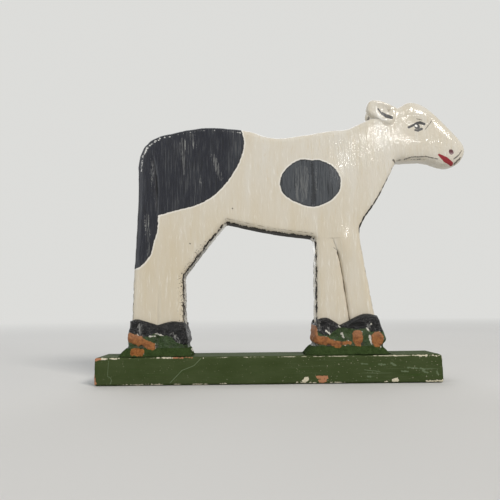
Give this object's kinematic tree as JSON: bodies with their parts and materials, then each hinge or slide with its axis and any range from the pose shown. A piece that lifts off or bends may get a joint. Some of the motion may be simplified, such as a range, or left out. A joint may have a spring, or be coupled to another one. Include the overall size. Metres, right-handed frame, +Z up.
{
  "type": "cow figure",
  "caption": "Flat carved wooden calf figure in cream paint with charcoal patches, standing on a chipped green rectangular plinth.",
  "frame": {"origin": "middle of the plinth's underside", "axes": "+X along the plinth toward the animal's head, +Y toward the animal's left side, +Z up"},
  "size_m": [0.2543, 0.03, 0.1936],
  "materials": {
    "painted_figure": "gloss cream enamel with charcoal patches over sawn board, upright grain showing through",
    "green_plinth": "satin green enamel, chipped to pale wood along the edges",
    "green_mound": "green enamel over lumpy composition",
    "hoof": "black enamel, broken away to orange-brown composition",
    "screw": "dull zinc-grey steel",
    "dowel": "bare beech"
  },
  "bodies": {
    "root": {"plinth_board": "green_plinth", "cow_board": "painted_figure", "fore_leg_rear": "painted_figure", "fore_leg_front": "painted_figure", "right_ear": "painted_figure", "left_ear": "painted_figure", "hind_mound": "green_mound", "fore_mound": "green_mound", "hind_rear_hoof": "hoof", "hind_front_hoof": "hoof", "fore_rear_hoof": "hoof", "fore_front_hoof": "hoof", "hind_rear_foot_screw": "screw", "hind_front_foot_screw": "screw", "fore_rear_foot_screw": "screw", "fore_front_foot_screw": "screw", "fore_rear_dowel": "dowel", "fore_front_dowel": "dowel"}
  },
  "joints": []
}
